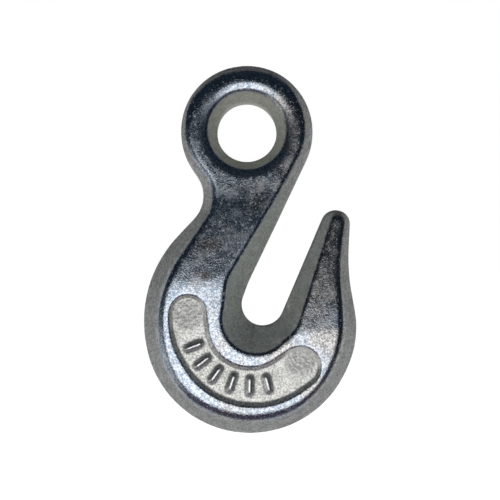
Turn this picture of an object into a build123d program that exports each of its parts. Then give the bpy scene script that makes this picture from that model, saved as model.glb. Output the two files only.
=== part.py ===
"""Safety chain hook: a one-piece forged eye grab hook for 3/8 in (10 mm) chain.

The hook hangs upright. The origin is the centre of the eye hole, +X points to the open
side, +Y runs along the eye's axis towards the back, and +Z is up. Lengths are in mm.
Both faces are alike, so the front half is built first and then mirrored.
"""

import os
from math import asin, atan2, cos, hypot, pi, radians, sin, tan

from build123d import *

os.makedirs("parts", exist_ok=True)

# Eye: a straight land in the middle of the hole, opened by a steep bevel up to a crest
# and by a shallow dish from there to the face.
EYE_HOLE_RADIUS = 9.5
EYE_LAND_LENGTH = 4.6
EYE_CREST_RADIUS = 12.4
EYE_CREST_ROUNDING = 1.4
EYE_DISH_RADIUS = 14.8
EYE_DISH_SLOPE = 12.0

# Thickness, measured from the mid-plane: full through the bowl, less at the eye and
# least at the point. Each taper runs between two heights, with a blend at its bends.
# The point's taper applies to the right of SLOT_DIVIDE only.
BOWL_HALF = 8.5
EYE_HALF = 6.5
POINT_HALF = 6.0
SHANK_TAPER_TOP = -20.0
SHANK_TAPER_BOTTOM = -47.0
SHANK_TAPER_BLEND = 60.0
POINT_TAPER_TOP = -22.5
POINT_TAPER_BOTTOM = -62.5
POINT_TAPER_BLEND = 24.0
SLOT_DIVIDE = 13.5

# Levels clear above and below the forging, and a distance clear of it all round.
CLEAR_TOP = 30.0
CLEAR_BOTTOM = -100.0
CLEAR_SIDE = 20.0

# Die-forged edges: a trimmed land at the parting line, drafted walls, rounded rims.
PARTING_LAND = 1.2
WALL_DRAFT = 38.0
TRIM_DRAFT = 5.0
RIM_ROUNDING = 2.8

# Extra rounding where the chain and shackle bear. Each one is swept about a centre
# (x, z) between two angles, anticlockwise from +X. It leaves the face flat up to its
# reach, then turns outwards (side 1) or inwards (side -1) with its radius, and slopes on
# down to the mid-plane. The centres are off those of the outlines, so each one fades
# out towards its ends.
EXTRA_ROUNDINGS = [
    # centre, reach, radius, turn, side, start angle, end angle, half thickness
    ((1.4, -59.6), 28.0, 4.2, 48, 1, 180, 360, BOWL_HALF),  # under the bowl
    ((3.1, -58.5), 12.2, 2.6, 45, -1, 160, 340, BOWL_HALF),  # slot seat
    ((0.0, -2.0), 17.2, 6.0, 50, 1, -30, 210, EYE_HALF),  # over the eye
]
ROUNDING_START = 0.06
ROUNDING_CLEARANCE = 1.5

# Outlines, anticlockwise from the eye, as circles (x, z, radius) joined by their common
# tangents. A negative radius is a hollow curve. PARTING_OUTLINE is the trimmed edge on
# the mid-plane, and FACE_OUTLINE is where the drafted walls reach the full thickness.
PARTING_OUTLINE = [
    (0.0, 0.0, 21.0),  # eye
    (-24.4, -20.2, -10.5),  # neck
    (6.5, -60.3, 39.5),  # bowl, left side
    (1.0, -62.2, 33.75),  # bowl, bottom
    (3.6, -62.4, 31.4),  # bowl, right side
    (96.2, -39.7, -63.8),  # back of the point
    (28.3, -29.2, 4.5),  # tip
    (5.1, -54.9, -6.75),  # slot seat, right side
    (7.0, -50.6, -7.0),  # slot seat, left side
]
FACE_OUTLINE = [
    (-0.5, 0.4, 16.9),  # eye
    (-21.5, -20.7, -12.6),  # neck
    (6.2, -60.1, 33.1),  # bowl, left side
    (1.0, -62.6, 27.5),  # bowl, bottom
    (2.3, -60.6, 27.1),  # bowl, right side
    (95.6, -41.4, -67.8),  # back of the point
    (28.3, -28.9, 0.4),  # tip
    (5.1, -54.9, -12.2),  # slot seat, right side
    (6.8, -50.4, -13.4),  # slot seat, left side
]

# Sunk panel in the bowl's face, with a row of plain raised ribs along its middle.
PANEL_OUTLINE = [
    (-18.3, -56.9, 5.5),  # left end
    (0.15, -58.9, 24.0),  # outer side, left
    (2.3, -60.7, 25.0),  # outer side, bottom
    (16.6, -73.6, 6.2),  # right end
    (1.0, -60.6, -13.2),  # inner side
]
PANEL_DEPTH = 0.9
PANEL_DRAFT = 20.0
PANEL_ROUNDING = 0.4
RIB_COUNT = 6
RIB_CENTRE = (1.5, -60.2)
RIB_RING_RADIUS = 19.3
RIB_ANGLES = (-158.5, -75.3)
RIB_LENGTH = 6.0
RIB_WIDTH = 1.9
RIB_HEIGHT = 0.7


def tangent(start, end):
    """Heading and ends of the straight edge that joins two circles of an outline."""
    (x0, z0, r0), (x1, z1, r1) = start, end
    lean = asin((r1 - r0) / hypot(x1 - x0, z1 - z0))
    heading = atan2(z1 - z0, x1 - x0) - lean
    first = (x0 + r0 * sin(heading), z0 - r0 * cos(heading))
    last = (x1 + r1 * sin(heading), z1 - r1 * cos(heading))
    return heading, first, last


def draw_outline(circles):
    """Draw a closed outline: an arc on each circle, then the tangent edge to the next."""
    edges = [tangent(circle, circles[(i + 1) % len(circles)]) for i, circle in enumerate(circles)]
    for i, (x, z, radius) in enumerate(circles):
        arrival, _, arc_start = edges[i - 1]
        departure, arc_end, edge_end = edges[i]
        if radius > 0:
            turn = (departure - arrival) % (2 * pi)
        else:
            turn = -((arrival - departure) % (2 * pi))
        middle = arrival + turn / 2
        arc_middle = (x + radius * sin(middle), z - radius * cos(middle))
        ThreePointArc(arc_start, arc_middle, arc_end)
        Line(arc_end, edge_end)


def radial_plane(centre, angle):
    """Plane that holds the Y direction and points away from centre at this angle."""
    x, z = centre
    turn = radians(angle)
    return Plane(
        origin=(x, 0, z),
        x_dir=(cos(turn), 0, sin(turn)),
        z_dir=(-sin(turn), 0, cos(turn)),
    )


def draw_rounding(reach, radius, turn, side, half):
    """Draw the section of what a rounded and sloping edge leaves off a flat face."""
    turn = radians(turn)
    rim = -half - radius
    crown = (reach, -half)
    shoulder = (reach + side * radius * sin(turn / 2), radius - half - radius * cos(turn / 2))
    foot = (reach + side * radius * sin(turn), radius - half - radius * cos(turn))
    end = foot[0] - side * foot[1] / tan(turn)
    outside = end + side * ROUNDING_CLEARANCE
    ThreePointArc(crown, shoulder, foot)
    Polyline(foot, (end, 0), (outside, 0), (outside, rim), (reach, rim), crown)


with BuildPart() as hook_forging:
    # Drafted walls, cut back to the trimmed outline.
    rise = BOWL_HALF - PARTING_LAND / 2
    spread = rise * tan(radians(WALL_DRAFT))
    with BuildSketch(Plane.XZ.offset(PARTING_LAND / 2)):
        with BuildLine():
            draw_outline([(x, z, radius + spread) for x, z, radius in FACE_OUTLINE])
        make_face()
    extrude(amount=rise, taper=WALL_DRAFT)
    with BuildSketch(Plane.XZ.offset(PARTING_LAND / 2)):
        with BuildLine():
            draw_outline(PARTING_OUTLINE)
        make_face()
    extrude(amount=BOWL_HALF, taper=TRIM_DRAFT, mode=Mode.INTERSECT)

    # Thickness seen from the side: the shank tapers towards the eye.
    with BuildSketch(Plane.YZ):
        with BuildLine():
            Polyline(
                (0, CLEAR_TOP),
                (-EYE_HALF, CLEAR_TOP),
                (-EYE_HALF, SHANK_TAPER_TOP),
                (-BOWL_HALF, SHANK_TAPER_BOTTOM),
                (-BOWL_HALF, CLEAR_BOTTOM),
                (0, CLEAR_BOTTOM),
                close=True,
            )
        make_face()
        tapers = (SHANK_TAPER_TOP, SHANK_TAPER_BOTTOM)
        bends = vertices().filter_by(lambda corner: corner.Y in tapers)
        fillet(bends, SHANK_TAPER_BLEND)
    extrude(amount=-CLEAR_BOTTOM, both=True, mode=Mode.INTERSECT)

    # The point, past the slot, thins further towards its tip.
    with BuildSketch(Plane.YZ.offset(SLOT_DIVIDE)):
        with BuildLine():
            Polyline(
                (-CLEAR_SIDE, POINT_TAPER_TOP),
                (-POINT_HALF, POINT_TAPER_TOP),
                (-BOWL_HALF, POINT_TAPER_BOTTOM),
                (-BOWL_HALF, CLEAR_BOTTOM),
                (-CLEAR_SIDE, CLEAR_BOTTOM),
                close=True,
            )
        make_face()
        bend = vertices().filter_by(lambda corner: corner.Y == POINT_TAPER_BOTTOM)
        fillet(bend, POINT_TAPER_BLEND)
    extrude(amount=CLEAR_SIDE + SLOT_DIVIDE, mode=Mode.SUBTRACT)

    # Rounded rim all the way round the faces.
    front = faces().filter_by(lambda face: face.normal_at().Y < -0.9)
    rim = [edge for edge in front.edges() if front.edges().count(edge) == 1]
    fillet(rim, RIM_ROUNDING)

    # Extra rounding. Each cut starts a hair above the face, so that it crosses it cleanly.
    for centre, reach, radius, turn, side, start, end, half in EXTRA_ROUNDINGS:
        with BuildSketch(radial_plane(centre, start)):
            with BuildLine():
                draw_rounding(reach, radius, turn, side, half + ROUNDING_START)
            make_face()
        turning = Axis((centre[0], 0, centre[1]), (0, -1, 0))
        revolve(axis=turning, revolution_arc=end - start, mode=Mode.SUBTRACT)

    # Eye hole with its bevel and dish.
    with BuildSketch(Plane.XY):
        with BuildLine():
            land = EYE_LAND_LENGTH / 2
            dish = tan(radians(EYE_DISH_SLOPE))
            crest_level = EYE_HALF - dish * (EYE_DISH_RADIUS - EYE_CREST_RADIUS)
            outside = EYE_DISH_RADIUS + (BOWL_HALF - EYE_HALF) / dish
            Polyline(
                (0, 0),
                (EYE_HOLE_RADIUS, 0),
                (EYE_HOLE_RADIUS, -land),
                (EYE_CREST_RADIUS, -crest_level),
                (outside, -BOWL_HALF),
                (0, -BOWL_HALF),
                close=True,
            )
        make_face()
    revolve(axis=Axis.Y, mode=Mode.SUBTRACT)
    crest = edges().filter_by(GeomType.CIRCLE).filter_by(
        lambda edge: abs(edge.radius - EYE_CREST_RADIUS) < 0.01
    )
    fillet(crest, EYE_CREST_ROUNDING)

    # Sunk panel and its ribs.
    inset = PANEL_DEPTH * tan(radians(PANEL_DRAFT))
    with BuildSketch(Plane.XZ.offset(BOWL_HALF - PANEL_DEPTH)):
        with BuildLine():
            draw_outline([(x, z, radius - inset) for x, z, radius in PANEL_OUTLINE])
        make_face()
    with BuildSketch(Plane.XZ.offset(BOWL_HALF)):
        with BuildLine():
            draw_outline(PANEL_OUTLINE)
        make_face()
    loft(ruled=True, mode=Mode.SUBTRACT)
    panel_levels = (-BOWL_HALF, PANEL_DEPTH - BOWL_HALF)
    panel_edges = edges(Select.LAST).filter_by(
        lambda edge: min(abs(edge.center().Y - level) for level in panel_levels) < 0.01
    )
    fillet(panel_edges, PANEL_ROUNDING)
    with BuildSketch(Plane.XZ.offset(BOWL_HALF - PANEL_DEPTH)):
        with Locations(RIB_CENTRE):
            first, last = RIB_ANGLES
            with PolarLocations(RIB_RING_RADIUS, RIB_COUNT, first, last - first, endpoint=True):
                SlotOverall(RIB_LENGTH, RIB_WIDTH)
    extrude(amount=RIB_HEIGHT, taper=PANEL_DRAFT)

    # Back half, and the land between the halves.
    mirror(about=Plane.XZ)
    with BuildSketch(Plane.XZ.offset(-PARTING_LAND / 2)):
        with BuildLine():
            draw_outline(PARTING_OUTLINE)
        make_face()
        Circle(EYE_HOLE_RADIUS, mode=Mode.SUBTRACT)
    extrude(amount=PARTING_LAND)

hook_forging.part.label = "hook_forging"
export_step(hook_forging.part, "parts/hook_forging.step")
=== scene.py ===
"""Safety chain hook: the zinc-plated forging, hung against a plain pale background.

Lengths are in metres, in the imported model's frame: the origin is the centre of the eye,
-Y is the front and +Z is up.
"""

from math import radians

import bpy
import numpy as np
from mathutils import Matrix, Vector, noise


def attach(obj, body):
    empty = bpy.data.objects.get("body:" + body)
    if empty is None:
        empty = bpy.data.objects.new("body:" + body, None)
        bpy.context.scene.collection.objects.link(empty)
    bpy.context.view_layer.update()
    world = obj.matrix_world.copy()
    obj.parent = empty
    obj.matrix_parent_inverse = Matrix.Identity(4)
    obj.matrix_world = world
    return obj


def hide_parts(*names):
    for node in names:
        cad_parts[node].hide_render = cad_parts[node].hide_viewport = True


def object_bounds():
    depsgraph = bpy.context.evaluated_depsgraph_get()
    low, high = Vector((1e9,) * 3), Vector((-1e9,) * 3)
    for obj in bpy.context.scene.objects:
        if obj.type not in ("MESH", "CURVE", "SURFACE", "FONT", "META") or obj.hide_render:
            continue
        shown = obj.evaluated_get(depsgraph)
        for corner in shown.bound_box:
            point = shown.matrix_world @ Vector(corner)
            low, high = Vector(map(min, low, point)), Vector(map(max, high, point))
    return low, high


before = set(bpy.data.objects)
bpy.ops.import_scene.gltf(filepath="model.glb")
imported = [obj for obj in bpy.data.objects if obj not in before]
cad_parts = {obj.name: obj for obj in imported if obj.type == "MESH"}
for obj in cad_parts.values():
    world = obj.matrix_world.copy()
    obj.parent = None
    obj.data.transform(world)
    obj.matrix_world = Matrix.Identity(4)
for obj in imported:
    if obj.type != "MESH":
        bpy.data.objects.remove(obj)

MM = 0.001

cad_low, cad_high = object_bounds()
centre = (cad_low + cad_high) / 2

# Camera: square to the front face, level with the middle of the hook.
CAMERA_DISTANCE = 222 * MM
VIEW_WIDTH = 160.3 * MM
SENSOR_WIDTH = 36.0

# Surface: the mesh grid, its smoothing, and the unevenness that the dies leave.
GRID = 0.44 * MM
SMOOTHING_PASSES = 5
WAVE_SIZE = 7 * MM
WAVE_HEIGHT = 0.04 * MM
DIMPLE_SIZE = 1.6 * MM
DIMPLE_HEIGHT = 0.010 * MM

# Where the finish changes. Places are (x, z); the eye's centre is the origin.
BOWL_HALF = cad_high.y
EYE_CREST = 12.4 * MM
EYE_DISH = 14.8 * MM
SLOT_SEAT = Vector((5.1, -54.9)) * MM
SLOT_HEADING = Vector((0.4, 0.9165))
SLOT_REACH = 16 * MM
SLOT_TOP = -14 * MM
PANEL_CENTRE = Vector((1.5, -60.2)) * MM
PANEL_RINGS = (12.4 * MM, 26.7 * MM)
PANEL_TOP = -50.6 * MM
PANEL_RIGHT = 13.5 * MM
POINT_FOOT = -64.0 * MM
RIB_RING = 19.3 * MM
RIB_REACH = 3.4 * MM
PARTING_LAND = 1.2 * MM
ROUGH_ENDS = (Vector((-18.4, -57.6)) * MM, Vector((16.6, -71.6)) * MM)
ROUGH_RADIUS = 5.0 * MM
ROUGH_EDGE = 1.5 * MM
RUST_SPOT = Vector((-12.7, -45.2)) * MM
RUST_RADIUS = 1.1 * MM
RUST_EDGE = 0.9 * MM

# Fineness of the finish's patterns, per metre, and the height of its relief.
CLOUD_SCALE = 90
PATCH_SCALE = 330
CRYSTAL_SCALE = 850
FLECK_AND_GLINT_SCALE = 1300
GRAIN_SCALE = 1700
RELIEF_HEIGHT = 0.15 * MM

# Studio
FLOOR_DROP = 70 * MM
FLOOR_RADIUS = 4.0
LIGHT_SIZE = 0.5
LIGHT_DISTANCE = 0.7


def add(tree, kind, inputs=None, **settings):
    """Add a shader node, set its options, and set or link its inputs."""
    node = tree.nodes.new("ShaderNode" + kind)
    for option, value in settings.items():
        setattr(node, option, value)
    for socket, value in (inputs or {}).items():
        if isinstance(value, bpy.types.NodeSocket):
            tree.links.new(value, node.inputs[socket])
        else:
            node.inputs[socket].default_value = value
    return node


def ramp(tree, value, low, high, low_out=0.0, high_out=1.0):
    """Ease a value from low_out to high_out as it goes from low to high."""
    node = add(tree, "MapRange", {
        "Value": value,
        "From Min": low,
        "From Max": high,
        "To Min": low_out,
        "To Max": high_out,
    }, interpolation_type="SMOOTHSTEP")
    return node.outputs["Result"]


def maths(tree, operation, first, second=0.0):
    node = add(tree, "Math", {0: first, 1: second}, operation=operation)
    return node.outputs[0]


def mix_colour(tree, factor, first, second):
    return add(tree, "Mix", {0: factor, 6: first, 7: second}, data_type="RGBA").outputs[2]


def mix_value(tree, factor, first, second):
    return add(tree, "Mix", {0: factor, 2: first, 3: second}, data_type="FLOAT").outputs[0]


def new_material(name):
    material = bpy.data.materials.new(name)
    material.use_nodes = True
    material.node_tree.nodes.clear()
    return material, material.node_tree


# ---------------------------------------------------------------- forging

def apply_modifiers(piece):
    """Replace a piece's mesh by the result of its modifiers."""
    depsgraph = bpy.context.evaluated_depsgraph_get()
    result = bpy.data.meshes.new_from_object(piece.evaluated_get(depsgraph))
    piece.modifiers.clear()
    old = piece.data
    piece.data = result
    bpy.data.meshes.remove(old)


def vertex_array(mesh, what):
    values = np.empty(len(mesh.vertices) * 3, dtype=np.float32)
    mesh.vertices.foreach_get(what, values)
    return values.reshape(-1, 3).astype(np.float64)


def add_attribute(mesh, name, values):
    attribute = mesh.attributes.new(name, "FLOAT", "POINT")
    attribute.data.foreach_set("value", values.astype(np.float32))


def ease(value, low, high):
    t = np.clip((value - low) / (high - low), 0, 1)
    return t * t * (3 - 2 * t)


def finish_masks(points, normals):
    """Say where each finish is: walls, trimmed land, slot, bevel, crest, sunk panels, ribs."""
    x, z = points[:, 0], points[:, 2]
    facing = np.abs(normals[:, 1])
    depth = BOWL_HALF - np.abs(points[:, 1])

    # Just below the bowl's faces the walls keep the faces' gloss, and it fades with depth.
    wall = (1 - ease(facing, 0.70, 0.86)) * ease(depth, 0.6 * MM, 2.6 * MM)

    from_eye = np.hypot(x, z)
    across = np.abs(points[:, 1]) - PARTING_LAND / 2
    land = (1 - ease(across, -0.1 * MM, 0.2 * MM)) * (from_eye > EYE_DISH)
    bevel = 1 - ease(from_eye, EYE_CREST - 0.9 * MM, EYE_CREST)
    crest = ease(from_eye, EYE_DISH + 0.4 * MM, EYE_DISH - 0.4 * MM) * (1 - bevel)

    # The slot's walls are those that face the slot's middle line. Their darker tone, set in the material,
    # is partly painted shade.
    along = np.maximum(0, (x - SLOT_SEAT[0]) * SLOT_HEADING[0] + (z - SLOT_SEAT[1]) * SLOT_HEADING[1])
    to_x = SLOT_SEAT[0] + along * SLOT_HEADING[0] - x
    to_z = SLOT_SEAT[1] + along * SLOT_HEADING[1] - z
    away = np.hypot(to_x, to_z)
    towards = (normals[:, 0] * to_x + normals[:, 2] * to_z) / away
    slot = ease(towards, 0.50, 0.64) * (away < SLOT_REACH) * ease(z, SLOT_TOP, SLOT_TOP - 8 * MM)

    # The panels lie in a ring about one centre. The test has no limit in depth, so it also
    # takes in a little of the slot's wall, near the foot of the point.
    ring = np.hypot(x - PANEL_CENTRE[0], z - PANEL_CENTRE[1])
    near_panel = (z < PANEL_TOP) & ((x < PANEL_RIGHT) | (z < POINT_FOOT))
    near_panel &= (ring > PANEL_RINGS[0]) & (ring < PANEL_RINGS[1])
    sunk = near_panel * ease(depth, 0.05 * MM, 0.2 * MM)
    rib = sunk * (np.abs(ring - RIB_RING) < RIB_REACH) * ease(depth, 0.60 * MM, 0.35 * MM)
    wall = wall * (1 - sunk)
    return {
        "wall": wall, "slot": slot, "land": land, "bevel": bevel, "crest": crest, "sunk": sunk, "rib": rib,
    }


def forging():
    """The forging's surface on a fine even grid, softened and made slightly uneven."""
    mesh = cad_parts["hook_forging"].data.copy()
    piece = bpy.data.objects.new("hook_surface", mesh)
    bpy.context.collection.objects.link(piece)
    remesh = piece.modifiers.new("grid", "REMESH")
    remesh.mode = "VOXEL"
    remesh.voxel_size = GRID
    remesh.use_smooth_shade = True
    smooth = piece.modifiers.new("soften", "SMOOTH")
    smooth.factor = 0.5
    smooth.iterations = SMOOTHING_PASSES
    apply_modifiers(piece)
    mesh = piece.data

    points = vertex_array(mesh, "co")
    normals = vertex_array(mesh, "normal")
    for name, values in finish_masks(points, normals).items():
        add_attribute(mesh, name, values)

    lift = np.empty(len(points))
    for i, point in enumerate(points):
        place = Vector(point)
        wave = noise.noise(place / WAVE_SIZE)
        dimple = noise.noise(place / DIMPLE_SIZE)
        lift[i] = WAVE_HEIGHT * wave + DIMPLE_HEIGHT * dimple
    points += normals * lift[:, None]
    mesh.vertices.foreach_set("co", points.astype(np.float32).ravel())
    mesh.update()
    return piece


def spot(tree, place, middle, radius, edge):
    """One inside a ball about a place (x, z) on the front face, easing to nought past its edge."""
    on_face = (middle[0], -BOWL_HALF, middle[1])
    offset = add(tree, "VectorMath", {0: place, 1: on_face}, operation="DISTANCE").outputs["Value"]
    return ramp(tree, offset, radius + edge, radius - edge)


def pattern(tree, place, scale, detail, roughness=0.5):
    """Cloudy noise of a given fineness."""
    node = add(tree, "TexNoise", {
        "Vector": place,
        "Scale": scale,
        "Detail": detail,
        "Roughness": roughness,
    })
    return node.outputs["Fac"]


def zinc_plate():
    """Zinc plating over a forged skin: glossy faces, matt walls, pale panels."""
    material, tree = new_material("zinc_plate")
    place = add(tree, "TexCoord").outputs["Object"]
    masks = {
        name: add(tree, "Attribute", attribute_name=name).outputs["Fac"]
        for name in ("wall", "slot", "land", "bevel", "crest", "sunk", "rib")
    }

    cloud = pattern(tree, place, CLOUD_SCALE, 4)
    patch = pattern(tree, place, PATCH_SCALE, 5, 0.6)
    grain = pattern(tree, place, GRAIN_SCALE, 2, 0.6)
    crystal = add(tree, "TexVoronoi", {"Vector": place, "Scale": CRYSTAL_SCALE}).outputs["Distance"]
    # Sparse flecks: they carry painted glints in the colour and real roughness.
    fleck_and_glint = ramp(tree, pattern(tree, place, FLECK_AND_GLINT_SCALE, 1), 0.63, 0.72)

    # Colour of the glossy faces: bluish, with browner clouds, more of them towards the
    # point, and a rust spot.
    mottle = maths(tree, "ADD", maths(tree, "MULTIPLY", patch, 0.3), maths(tree, "MULTIPLY", grain, 0.7))
    mottle = ramp(tree, mottle, 0.37, 0.63)
    blue = mix_colour(tree, mottle, (0.27, 0.34, 0.42, 1), (0.74, 0.78, 0.84, 1))
    brown = mix_colour(tree, mottle, (0.30, 0.29, 0.285, 1), (0.78, 0.765, 0.75, 1))
    across = add(tree, "SeparateXYZ", {0: place}).outputs["X"]
    warmth = maths(tree, "ADD", cloud, maths(tree, "MULTIPLY", across, 6.0))
    colour = mix_colour(tree, ramp(tree, warmth, 0.45, 0.68), blue, brown)
    # Pale flecks: painted glints, sparse specks painted near white; their extra roughness, set below, is
    # real.
    colour = mix_colour(tree, fleck_and_glint, colour, (0.92, 0.93, 0.93, 1))
    rust = spot(tree, place, RUST_SPOT, RUST_RADIUS, RUST_EDGE)
    rust = maths(tree, "MULTIPLY", rust, ramp(tree, grain, 0.3, 0.55, 0.3, 0.9))
    colour = mix_colour(tree, rust, colour, (0.20, 0.13, 0.08, 1))

    # Coarse crystals at the front panel's ends.
    ends = [spot(tree, place, end, ROUGH_RADIUS, ROUGH_EDGE) for end in ROUGH_ENDS]
    coarse = maths(tree, "MULTIPLY", maths(tree, "MAXIMUM", *ends), masks["sunk"])

    # The walls, slot, land, bevel, panels and ribs each have a tone of their own; the slot's darker tone
    # is partly painted shade where its walls face each other.
    for name, dark, pale in (
        ("wall", (0.24, 0.24, 0.24, 1), (0.52, 0.52, 0.52, 1)),
        # Slot walls: the green tint is their own; their darkness is partly painted shade between facing
        # walls.
        ("slot", (0.22, 0.24, 0.225, 1), (0.40, 0.425, 0.40, 1)),
        ("land", (0.40, 0.40, 0.40, 1), (0.66, 0.66, 0.66, 1)),
        ("bevel", (0.28, 0.29, 0.25, 1), (0.42, 0.43, 0.38, 1)),
        ("sunk", (0.42, 0.42, 0.385, 1), (1.00, 1.00, 0.95, 1)),
        ("rib", (0.85, 0.85, 0.82, 1), (0.98, 0.98, 0.95, 1)),
    ):
        tone = mix_colour(tree, mottle, dark, pale)
        colour = mix_colour(tree, masks[name], colour, tone)
    colour = mix_colour(tree, maths(tree, "MULTIPLY", coarse, 0.6), colour, (0.99, 0.99, 0.94, 1))

    roughness = ramp(tree, patch, 0.3, 0.7, 0.20, 0.29)
    roughness = mix_value(tree, fleck_and_glint, roughness, 0.6)
    for name, value in (
        ("wall", 0.5), ("slot", 0.5), ("land", 0.36),
        ("bevel", 0.5), ("crest", 0.28), ("sunk", 0.34), ("rib", 0.3),
    ):
        roughness = mix_value(tree, masks[name], roughness, value)
    metallic = mix_value(tree, masks["wall"], 1.0, 0.55)
    for name, value in (("slot", 0.15), ("land", 0.7), ("bevel", 0.25), ("sunk", 0.8), ("rib", 1.0)):
        metallic = mix_value(tree, masks[name], metallic, value)
    metallic = mix_value(tree, coarse, metallic, 0.45)

    # Fine grain all over, and the crystals' relief.
    relief = maths(tree, "MULTIPLY", crystal, maths(tree, "MULTIPLY", coarse, 2.2))
    height = maths(tree, "ADD", grain, relief)
    strength = mix_value(tree, coarse, 0.3, 0.9)
    bump = add(tree, "Bump", {
        "Height": height,
        "Strength": strength,
        "Distance": RELIEF_HEIGHT,
    }).outputs["Normal"]

    shader = add(tree, "BsdfPrincipled", {
        "Base Color": colour,
        "Metallic": metallic,
        "Roughness": roughness,
        "Normal": bump,
    })
    output = add(tree, "OutputMaterial")
    tree.links.new(shader.outputs[0], output.inputs["Surface"])
    return material


hook = forging()
hook.data.materials.clear()
hook.data.materials.append(zinc_plate())
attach(hook, "root")
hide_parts("hook_forging")


# ---------------------------------------------------------------- studio

def floor():
    """Pale floor, bright enough to meet the background without a line."""
    bpy.ops.mesh.primitive_circle_add(
        vertices=96, radius=FLOOR_RADIUS, fill_type="NGON",
        location=(centre.x, centre.y, cad_low.z - FLOOR_DROP),
    )
    disc = bpy.context.object
    disc.name = "floor"
    material, tree = new_material("pale_floor")
    lit = add(tree, "BsdfDiffuse", {"Color": (0.5, 0.5, 0.5, 1)})
    glow = add(tree, "Emission", {"Color": (1, 1, 1, 1), "Strength": 1.0})
    both = add(tree, "AddShader", {0: lit.outputs[0], 1: glow.outputs[0]})
    output = add(tree, "OutputMaterial")
    tree.links.new(both.outputs[0], output.inputs["Surface"])
    disc.data.materials.append(material)
    disc.visible_glossy = False
    return disc


def studio_world():
    """What the metal mirrors. The camera itself sees plain white.

    In front, a bright low card whose top slants down to the right, a dimmer card low to the
    left, and dark round them. Grey sides, and behind, a low pale band in the dark.
    """
    world = bpy.data.worlds.new("studio")
    bpy.context.scene.world = world
    world.use_nodes = True
    tree = world.node_tree
    tree.nodes.clear()
    direction = add(tree, "TexCoord").outputs["Generated"]
    split = add(tree, "SeparateXYZ", {0: direction})
    x, y, z = split.outputs["X"], split.outputs["Y"], split.outputs["Z"]

    left = maths(tree, "MULTIPLY", ramp(tree, x, -0.25, -0.55), ramp(tree, z, 0.12, -0.04))
    front = mix_colour(tree, left, (0.014, 0.022, 0.032, 1), (0.085, 0.09, 0.10, 1))
    front = mix_colour(tree, ramp(tree, z, -0.35, -0.55), front, (0.085, 0.075, 0.105, 1))
    slant = maths(tree, "ADD", z, maths(tree, "MULTIPLY", x, 0.35))
    card = maths(tree, "MULTIPLY", ramp(tree, z, -0.42, -0.3), ramp(tree, slant, 0.02, -0.10))
    card = maths(tree, "MULTIPLY", card, ramp(tree, maths(tree, "ABSOLUTE", x), 0.38, 0.18))
    front = mix_colour(tree, card, front, (2.1, 2.1, 2.12, 1))
    corner = maths(tree, "MULTIPLY", ramp(tree, z, -0.7, -0.5), ramp(tree, z, -0.12, -0.3))
    corner = maths(tree, "MULTIPLY", corner, ramp(tree, x, -0.38, -0.58))
    front = mix_colour(tree, corner, front, (0.6, 0.61, 0.63, 1))

    side = mix_colour(tree, ramp(tree, z, 0.45, 0.8), (0.52, 0.53, 0.52, 1), (0.05, 0.05, 0.05, 1))
    band = maths(tree, "MULTIPLY", ramp(tree, z, -0.6, -0.4), ramp(tree, z, -0.02, -0.2))
    behind = mix_colour(tree, band, (0.03, 0.035, 0.04, 1), (1.1, 1.1, 1.12, 1))
    colour = mix_colour(tree, ramp(tree, y, -0.25, 0.15), front, side)
    colour = mix_colour(tree, ramp(tree, y, 0.5, 0.66), colour, behind)

    seen = add(tree, "LightPath").outputs["Is Camera Ray"]
    colour = mix_colour(tree, seen, colour, (1, 1, 1, 1))
    background = add(tree, "Background", {"Color": colour})
    output = add(tree, "OutputWorld")
    tree.links.new(background.outputs[0], output.inputs["Surface"])


def soft_light(name, direction, power):
    """A large lamp turned to the hook. It lights the matt surfaces and isn't mirrored."""
    data = bpy.data.lights.new(name, "AREA")
    data.shape = "DISK"
    data.size = LIGHT_SIZE
    data.energy = power
    lamp = bpy.data.objects.new(name, data)
    bpy.context.collection.objects.link(lamp)
    lamp.location = centre + Vector(direction).normalized() * LIGHT_DISTANCE
    lamp.rotation_euler = (centre - lamp.location).to_track_quat("-Z", "Y").to_euler()
    lamp.visible_glossy = False
    return lamp


def camera():
    data = bpy.data.cameras.new("camera")
    data.sensor_width = SENSOR_WIDTH
    data.lens = SENSOR_WIDTH * CAMERA_DISTANCE / VIEW_WIDTH
    data.clip_start = 0.01
    holder = bpy.data.objects.new("camera", data)
    bpy.context.collection.objects.link(holder)
    holder.location = (centre.x, -CAMERA_DISTANCE, centre.z)
    holder.rotation_euler = (radians(90), 0, 0)
    bpy.context.scene.camera = holder


floor()
studio_world()
soft_light("key", (-0.25, -0.5, 1.0), 0.7)
soft_light("back", (0.6, 0.8, 0.5), 0.7)
camera()
bpy.context.scene.view_settings.view_transform = "Standard"
